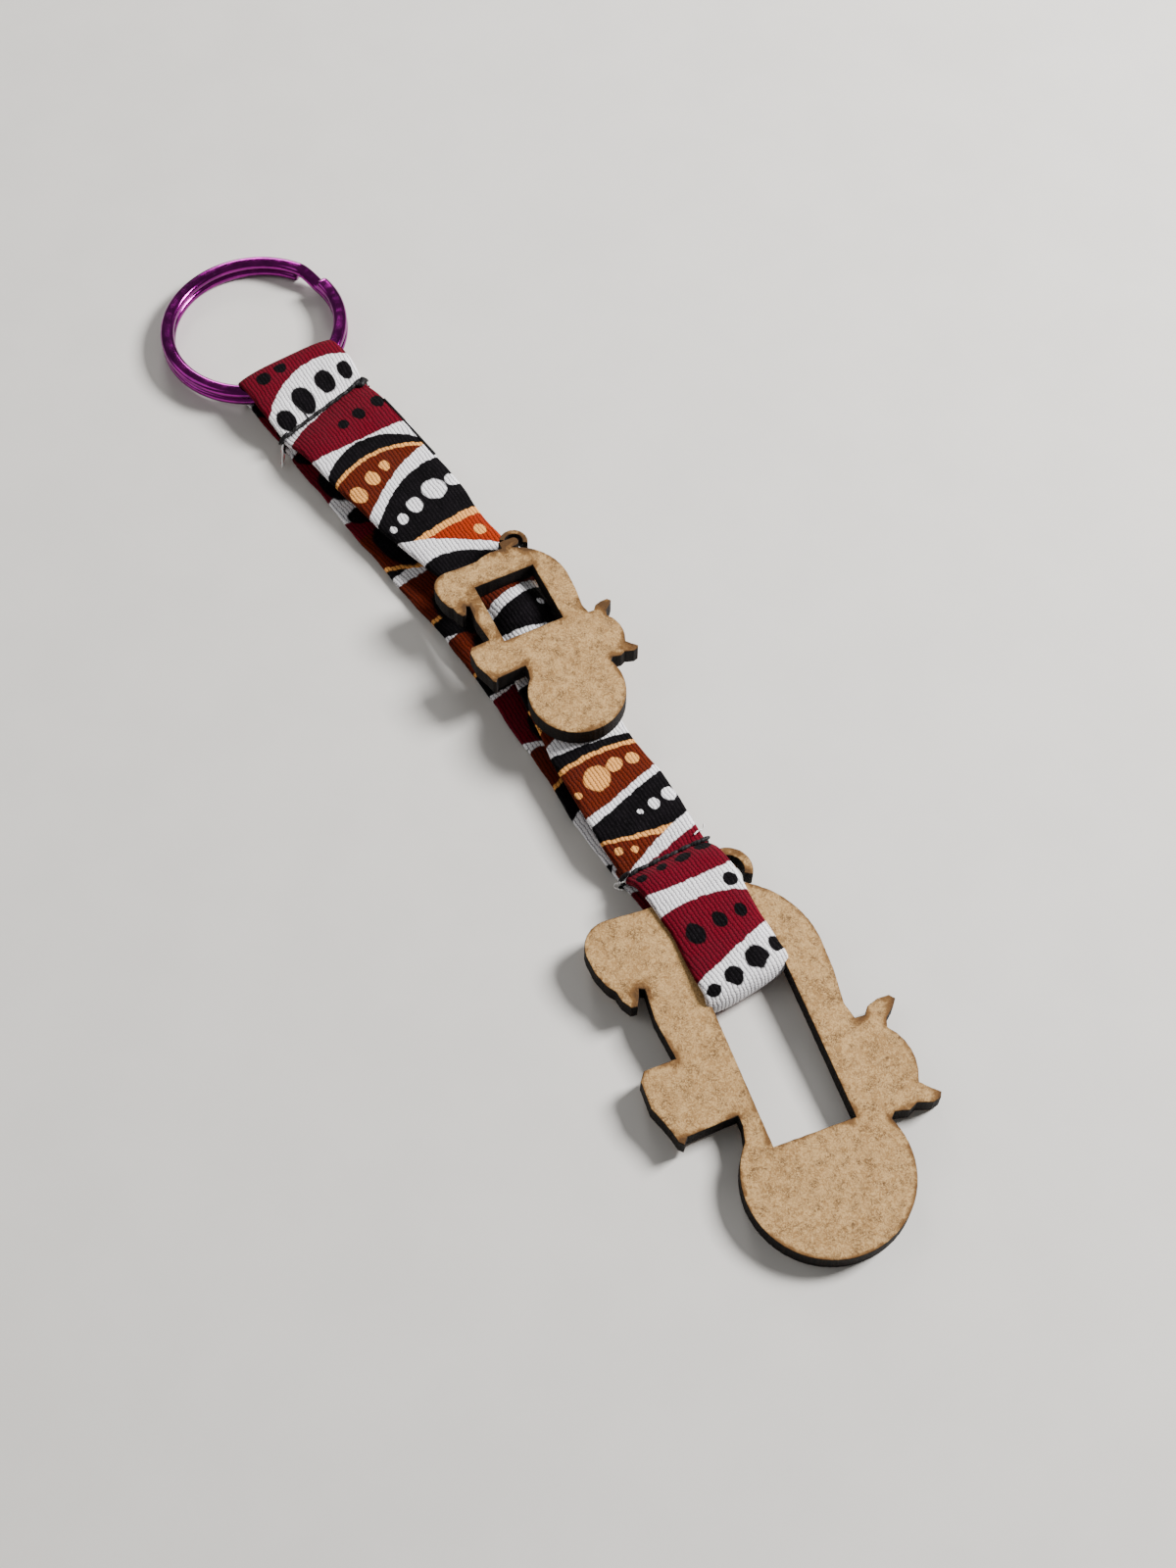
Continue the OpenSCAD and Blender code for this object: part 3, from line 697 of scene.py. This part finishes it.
def ringLoopPath(across):
    s = strapShape
    across = np.mean(across)
    half = s["layer"] / 2
    seam = float(seamAt("upper", across)) - 0.1
    fold = s["foldRound"]
    bow = half + 0.004 * (across - 0.5) ** 2
    tucked = tuckedEnd(seam, 1)
    along = np.linspace(seam, fold + half, int(9 / s["rowStep"]))
    top = np.stack([along, frontHigh(along, across) - half + 0.06 * ripple(along, across, 2.0)], 1)
    end = cornered(half, top[-1, 1], fold) + [bow, 0]
    back = np.linspace(fold + half, seam, int(9 / s["rowStep"]))
    bottom = np.stack([back, np.full(len(back), half + 0.02)], 1)
    line, past = loopLine(tucked, top, end, bottom)
    printAt = -past - s["printShift"]
    first = len(tucked)
    printAt[first:first + len(top)] = along
    return line, -outwardOf(line), printAt


def charmLoopPath(across):
    s = strapShape
    across = np.mean(across)
    half = s["layer"] / 2
    seam = float(seamAt("lower", across)) + 0.1
    fold = s["foldRound"]
    last = strapLength - half
    tucked = tuckedEnd(seam, -1)
    count = int(22 / s["rowStep"])
    along = np.linspace(seam, last - fold, count)
    sag = 0.25 * np.sin(np.clip((along - seam - 6) / 16, 0, 1) * math.pi)
    top = np.stack([along, frontHigh(along, across) - half - sag + 0.08 * ripple(along, across, 3.0)], 1)
    bow = 0.008 * (across - 0.5) ** 2
    end = cornered(half, top[-1, 1], fold) * [-1, 1] + [last - bow, 0]
    back = np.linspace(last - fold, seam, count)
    bottom = np.stack([back, np.full(len(back), half + 0.02)], 1)
    line, past = loopLine(tucked, top, end, bottom)
    printAt = strapLength + s["printShift"] + past
    first = len(tucked)
    printAt[first:first + len(top)] = along
    return line, outwardOf(line), printAt


def makeStrap():
    s = strapShape
    front, back = (s["left"], s["right"]), (s["backLeft"], s["backRight"])
    frontCloth = foldedStrip("strapFront", frontPath, front, 0.4)
    backCloth = foldedStrip("strapBack", backPath, back, 2.4)
    ringCloth = foldedStrip("ringLoopCloth", ringLoopPath, front, 1.1)
    charmCloth = foldedStrip("charmLoopCloth", charmLoopPath, front, 3.0)
    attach(frontCloth, "strap")
    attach(backCloth, "strap")
    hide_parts("strap")
    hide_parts("ring_loop")
    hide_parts("charm_loop")
    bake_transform(ringCloth)
    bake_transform(charmCloth)


makeStrap()
print("strap made")

# Board charms: the CAD outline, cut again with a fine mesh that can hold its scorch marks

boardShape = {
    "edge": 0.1, "grid": 0.75, "step": 0.6, "edgeReach": 0.45, "cornerReach": 1.9, "wallRows": 4,
    "jitter": 0.2, "clear": 0.35, "wobble": 0.025, "seed": 7,
}


def faceLoops(node):
    # the upper face's outlines, in the board's own plane, with the turn that takes the plane back
    bm = bmesh.new()
    bm.from_mesh(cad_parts[node].data)
    bmesh.ops.remove_doubles(bm, verts=bm.verts, dist=1e-6)
    bm.normal_update()
    up = sum((f.normal * f.calc_area() for f in bm.faces if f.normal.z > 0.9), Vector()).normalized()
    turn = up.rotation_difference(Vector((0, 0, 1))).to_matrix()
    top = {f for f in bm.faces if f.normal.dot(up) > 0.995}
    follows = {}
    for f in top:
        for loop in f.loops:
            if not any(g in top for g in loop.edge.link_faces if g is not f):
                follows[loop.vert.index] = loop.link_loop_next.vert.index
    where = {v.index: np.array(turn @ v.co) / mm for v in bm.verts}
    loops = []
    while follows:
        first = next(iter(follows))
        chain = [first]
        nxt = follows.pop(first)
        while nxt != first:
            chain.append(nxt)
            nxt = follows.pop(nxt)
        loops.append(np.array([where[i] for i in chain]))
    lowest = min(where[v.index][2] for v in bm.verts)
    bm.free()
    loops.sort(key=lambda p: -np.ptp(p[:, 0]) * np.ptp(p[:, 1]))
    return loops, turn.inverted(), lowest


def resampled(loop, step):
    points = []
    for a, b in zip(loop, np.roll(loop, -1, axis=0)):
        count = max(1, int(math.ceil(np.linalg.norm(b - a) / step)))
        points += [a + (b - a) * i / count for i in range(count)]
    return np.array(points)


def insetLoop(loop, amount):
    before = loop - np.roll(loop, 1, axis=0)
    after = np.roll(loop, -1, axis=0) - loop
    normal = np.zeros_like(loop)
    for edge in (before, after):
        length = np.maximum(np.linalg.norm(edge, axis=1), 1e-9)[:, None]
        normal += np.stack([-edge[:, 1], edge[:, 0]], 1) / length
    size = np.maximum(np.linalg.norm(normal, axis=1), 0.5)[:, None]
    return loop + normal / size * amount


def insideOf(points, loops):
    inside = np.zeros(len(points), bool)
    for loop in loops:
        for a, b in zip(loop, np.roll(loop, -1, axis=0)):
            crosses = (a[1] > points[:, 1]) != (b[1] > points[:, 1])
            level = (b[0] - a[0]) * (points[:, 1] - a[1]) / (b[1] - a[1] + 1e-12) + a[0]
            inside ^= crosses & (points[:, 0] < level)
    return inside


def sharpness(samples, window):
    # how far the outline turns within a short stretch, 0 straight to 1 at a right angle
    before = samples - np.roll(samples, window, axis=0)
    after = np.roll(samples, -window, axis=0) - samples
    turn = np.arctan2(before[:, 0] * after[:, 1] - before[:, 1] * after[:, 0], (before * after).sum(1))
    return np.clip((np.abs(turn) - 0.5) / 1.0, 0, 1)


def smokeAt(points, loops, edgeReach, cornerReach):
    # about 1 on an edge, 2 or more at a corner, where the cut is slow, or on a narrow neck, 0 well inside
    total = np.zeros(len(points))
    step = 0.3
    for loop in loops:
        samples = resampled(loop, step)
        sharp = sharpness(samples, 3)
        for k in range(0, len(samples), 200):
            part = samples[k:k + 200]
            apart = ((points[:, None, :] - part[None, :, :]) ** 2).sum(2)
            total += np.exp(-apart / edgeReach ** 2).sum(1) * step / (edgeReach * math.sqrt(math.pi))
            total += (np.exp(-apart / cornerReach ** 2) * sharp[k:k + 200]).sum(1) * step * 1.3
    return total


def boardPiece(name, node, body):
    s = boardShape
    loops, back, lowest = faceLoops(node)
    topZ = float(loops[0][0][2])
    outlines = [resampled(loop[:, :2], s["step"]) for loop in loops]
    insets = [insetLoop(loop, s["edge"]) for loop in outlines]
    low, high = outlines[0].min(0), outlines[0].max(0)
    random = np.random.default_rng(s["seed"])
    xs, ys = np.meshgrid(np.arange(low[0], high[0], s["grid"]), np.arange(low[1], high[1], s["grid"]))
    grid = np.stack([xs.ravel(), ys.ravel()], 1)
    grid += random.uniform(-s["jitter"], s["jitter"], grid.shape)
    grid = grid[insideOf(grid, outlines)]
    edgePoints = np.concatenate(insets)
    near = np.array([np.min(np.linalg.norm(edgePoints - p, axis=1)) for p in grid])
    grid = grid[near > s["clear"]]
    vertices = [Vector(p) for p in edgePoints] + [Vector(p) for p in grid]
    edges, first = [], 0
    for loop in insets:
        edges += [(first + i, first + (i + 1) % len(loop)) for i in range(len(loop))]
        first += len(loop)
    flatPoints, _, triangles, *_ = delaunay_2d_cdt(vertices, edges, [], 0, 1e-6)
    flatPoints = np.array([tuple(p) for p in flatPoints])
    triangles = np.array(triangles)
    centres = flatPoints[triangles].mean(1)
    triangles = triangles[insideOf(centres, insets)]
    count = len(flatPoints)
    points = [np.column_stack([flatPoints, np.full(count, topZ)]),
              np.column_stack([flatPoints, np.full(count, lowest)])]
    walls = [np.zeros(2 * count)]
    faces = [tuple(t) for t in triangles] + [tuple(t[::-1] + count) for t in triangles]
    first = 2 * count
    seen = 0
    for loop in outlines:
        n = len(loop)
        heights = np.linspace(topZ - s["edge"], lowest + s["edge"], s["wallRows"])
        wobble = random.uniform(-s["wobble"], s["wobble"], n)
        for z in heights:
            ring = loop + np.column_stack([wobble, -wobble])
            points.append(np.column_stack([ring, np.full(n, z)]))
            walls.append(np.ones(n))
        rows = [[seen + i for i in range(n)]]
        rows += [[first + k * n + i for i in range(n)] for k in range(len(heights))]
        rows.append([seen + i + count for i in range(n)])
        for upper, lower in zip(rows, rows[1:]):
            for i in range(n):
                j = (i + 1) % n
                faces.append((upper[i], lower[i], lower[j], upper[j]))
        first += n * len(heights)
        seen += n
    points = np.concatenate(points)
    wall = np.concatenate(walls)
    smoke = smokeAt(points[:, :2], outlines, s["edgeReach"], s["cornerReach"])
    turned = np.array([tuple(back @ Vector(p)) for p in points]) * mm
    board = makePiece(name, turned, faces, boardMaterial, {"scorch": smoke, "cutWall": wall})
    recalculate(board)
    for polygon in board.data.polygons:
        polygon.use_smooth = False
    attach(board, body)
    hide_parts(node)
    return board


boardPiece("smallBoardCharm", "small_charm", "strap")
boardPiece("largeBoardCharm", "large_charm", "charm")
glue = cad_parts["glue_dabs"]
glue.data.materials.clear()
glue.data.materials.append(driedGlue())
print("charms made")

# Stitches: a geometry node tree lays them along a seam line

stitchShape = {
    "upper": {"pitch": 1.5, "length": 2.4, "radius": 0.34, "lean": 5.0, "lift": 0.2},
    "lower": {"pitch": 1.7, "length": 2.2, "radius": 0.36, "lean": 13.0, "lift": 0.16},
}


def buildStitchTree():
    tree = bpy.data.node_groups.new("stitchRow", "GeometryNodeTree")
    for label, kind in (("Line", "Geometry"), ("Pitch", "Float"), ("Length", "Float"), ("Radius", "Float"),
                        ("Lean", "Float"), ("Seed", "Int"), ("Thread", "Material")):
        tree.interface.new_socket(name=label, in_out="INPUT", socket_type="NodeSocket" + kind)
    tree.interface.new_socket(name="Stitches", in_out="OUTPUT", socket_type="NodeSocketGeometry")
    nodes = Nodes(tree)
    given = nodes.add("NodeGroupInput").outputs
    out = nodes.add("NodeGroupOutput").inputs
    curve = nodes.add("GeometryNodeMeshToCurve", {"Mesh": given["Line"]})
    dots = nodes.add("GeometryNodeCurveToPoints", {"Curve": curve.outputs[0], "Length": given["Pitch"]},
                     mode="LENGTH")
    ball = nodes.add("GeometryNodeMeshUVSphere", {"Segments": 10, "Rings": 8, "Radius": 1.0})
    half = nodes.math("MULTIPLY", given["Length"], 0.5)
    size = nodes.add("ShaderNodeCombineXYZ", {0: half, 1: given["Radius"], 2: given["Radius"]})
    stitch = nodes.add("GeometryNodeTransform", {"Geometry": ball.outputs["Mesh"], "Scale": size.outputs[0]})
    facing = nodes.add("FunctionNodeAlignRotationToVector", {"Vector": dots.outputs["Tangent"]}, axis="X")
    spread = nodes.math("MULTIPLY", given["Lean"], -1.0)
    # the third and fourth sockets of Random Value are its least and most, as plain numbers
    lean = nodes.add("FunctionNodeRandomValue", {2: spread, 3: given["Lean"], "Seed": given["Seed"]},
                     data_type="FLOAT")
    tilt = nodes.add("FunctionNodeAxisAngleToRotation", {"Axis": (0, 0, 1), "Angle": lean.outputs[1]})
    both = nodes.add(
        "FunctionNodeRotateRotation", {"Rotation": facing.outputs[0], "Rotate By": tilt.outputs[0]},
        rotation_space="LOCAL")
    placedStitches = nodes.add("GeometryNodeInstanceOnPoints", {
        "Points": dots.outputs["Points"], "Instance": stitch.outputs[0], "Rotation": both.outputs[0]})
    real = nodes.add("GeometryNodeRealizeInstances", {0: placedStitches.outputs[0]})
    smooth = nodes.add("GeometryNodeSetShadeSmooth", {0: real.outputs[0]})
    coloured = nodes.add(
        "GeometryNodeSetMaterial", {"Geometry": smooth.outputs[0], "Material": given["Thread"]})
    nodes.feed(out["Stitches"], coloured.outputs[0])
    return tree


def seamLoop(which):
    # the thread's way over the front, down the right side, back under and up the left side
    s = strapShape
    edgeAt = s[which + "Seam"]
    left = float(eased(edgeAt, s["left"])) - 0.02
    right = float(eased(edgeAt, s["right"])) + 0.02
    across = np.linspace(left, right, 40)
    along = seamAt(which, across)
    top = frontHigh(along, across) + stitchShape[which]["lift"]
    over = np.stack([along, across, top], 1)
    under = np.stack([along, across, np.full(len(across), 0.24)], 1)[::-1]
    sideRight = [[along[-1], right + 0.18, z] for z in np.linspace(top[-1] - 0.5, 0.6, 4)]
    sideLeft = [[along[0], left - 0.18, z] for z in np.linspace(0.6, top[0] - 0.5, 4)]
    return np.concatenate([over, sideRight, under, sideLeft])


def stitchRow(name, which, tree, seed):
    points = seamLoop(which)
    count = len(points)
    mesh = bpy.data.meshes.new(name)
    mesh.from_pydata([tuple(p) for p in placed(points)], [(i, (i + 1) % count) for i in range(count)], [])
    row = bpy.data.objects.new(name, mesh)
    bpy.context.scene.collection.objects.link(row)
    look = stitchShape[which]
    values = {"Pitch": look["pitch"] * mm, "Length": look["length"] * mm, "Radius": look["radius"] * mm,
              "Lean": math.radians(look["lean"]), "Seed": seed, "Thread": blackThread}
    modifier = row.modifiers.new("stitches", "NODES")
    modifier.node_group = tree
    for item in tree.interface.items_tree:
        if item.item_type == "SOCKET" and item.in_out == "INPUT" and item.name in values:
            modifier[item.identifier] = values[item.name]
    applyModifiers(row)
    for vertex in row.data.vertices:
        vertex.co.z = max(vertex.co.z, 0.02 * mm)
    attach(row, "strap")
    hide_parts(which + "_seam")
    return row


def onFront(points, lift):
    return [(a, b, float(frontHigh(np.array(a), np.array(b))) + lift) for a, b in points]


def looseThread(name, points, radius, material):
    curve = bpy.data.curves.new(name, "CURVE")
    curve.dimensions = "3D"
    curve.bevel_depth = radius * mm
    curve.bevel_resolution = 3
    curve.use_fill_caps = True
    spline = curve.splines.new("NURBS")
    spline.points.add(len(points) - 1)
    for target, p in zip(spline.points, placed(points)):
        target.co = (*p, 1)
    spline.order_u = 3
    spline.use_endpoint_u = True
    spline.resolution_u = 8
    holder = bpy.data.objects.new(name + "Line", curve)
    bpy.context.scene.collection.objects.link(holder)
    graph = bpy.context.evaluated_depsgraph_get()
    mesh = bpy.data.meshes.new_from_object(holder.evaluated_get(graph))
    bpy.data.objects.remove(holder)
    mesh.materials.clear()
    mesh.materials.append(material)
    mesh.polygons.foreach_set("use_smooth", [True] * len(mesh.polygons))
    thread = bpy.data.objects.new(name, mesh)
    bpy.context.scene.collection.objects.link(thread)
    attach(thread, "strap")
    return thread


def makeStitches():
    tree = buildStitchTree()
    stitchRow("upperStitches", "upper", tree, 3)
    stitchRow("lowerStitches", "lower", tree, 5)
    looseThread("whiteTail", [(13.9, -7.2, 2.4), (14.4, -8.0, 2.2), (15.4, -8.3, 1.8), (16.8, -9.4, 0.6)],
                0.17, whiteThread)
    looseThread("redTail", [(13.7, -7.2, 1.9), (14.4, -8.2, 1.5), (15.4, -8.1, 1.0), (15.9, -9.0, 0.3)],
                0.19, redThread)
    looseThread("shortTail", onFront([(12.7, -2.0), (12.0, -2.1), (11.2, -2.3), (10.7, -2.5)], 0.1),
                0.12, blackThread)
    looseThread("upperKnot", onFront([(11.0, 7.4), (10.3, 8.2), (10.8, 8.9), (11.6, 8.2), (10.9, 7.7)], 0.25),
                0.42, blackThread)
    looseThread("lowerTail", [(107.6, -4.6, 3.0), (107.4, -5.6, 2.6), (106.6, -6.2, 2.0),
                              (107.2, -6.6, 1.6), (108.2, -5.6, 1.9)], 0.1, whiteThread)
    looseThread("lowerEnd", onFront([(106.9, 7.0), (106.6, 7.8), (107.0, 8.5), (106.3, 9.0)], 0.1),
                0.12, whiteThread)
    along = np.linspace(16.5, 30.0, 8)
    across = eased(along, strapShape["right"]) - 0.12
    looseThread("edgeThread", onFront(list(zip(along, across)), -0.3), 0.2, blackThread)

makeStitches()
print("stitches made")

# Floor and soft studio light

studio = {"floor": tone("dcd8d2"), "keyPlace": (0.10, 0.50, 0.40), "keySize": 0.2, "keyPower": 11.0,
          "fillPlace": (-0.35, -0.45, 0.5), "fillSize": 0.5, "fillPower": 1.0, "sky": 0.2,
          "edgePlace": (-0.5, 0.2, 0.25), "edgeSize": 0.15, "edgePower": 0.9}


def softLight(name, place, size, power):
    data = bpy.data.lights.new(name, "AREA")
    data.size = size
    data.energy = power
    light = bpy.data.objects.new(name, data)
    light.location = place
    light.rotation_euler = (-Vector(place)).to_track_quat("-Z", "Y").to_euler()
    bpy.context.scene.collection.objects.link(light)


def makeStudio():
    material, nodes, shader = newMaterial("floorPaper", {"Roughness": 0.9, "Specular IOR Level": 0.2})
    place = nodes.add("ShaderNodeTexCoord").outputs["Object"]
    grain = nodes.noise(place, 60.0, 4, 0.6)
    darker = tuple(c * 0.96 for c in studio["floor"])
    nodes.feed(shader.inputs["Base Color"],
               nodes.mix(nodes.ramp(grain, 0.3, 0.7), studio["floor"], darker))
    side = 3.0
    floor = makePiece("floor", [(-side, -side, 0), (side, -side, 0), (side, side, 0), (-side, side, 0)],
                      [(0, 1, 2, 3)], material)
    softLight("keyLight", studio["keyPlace"], studio["keySize"], studio["keyPower"])
    softLight("edgeLight", studio["edgePlace"], studio["edgeSize"], studio["edgePower"])
    softLight("fillLight", studio["fillPlace"], studio["fillSize"], studio["fillPower"])
    world = bpy.data.worlds.new("studioSky")
    world.use_nodes = True
    world.node_tree.nodes["Background"].inputs["Color"].default_value = (1, 1, 1, 1)
    world.node_tree.nodes["Background"].inputs["Strength"].default_value = studio["sky"]
    bpy.context.scene.world = world


makeStudio()
print("studio made")
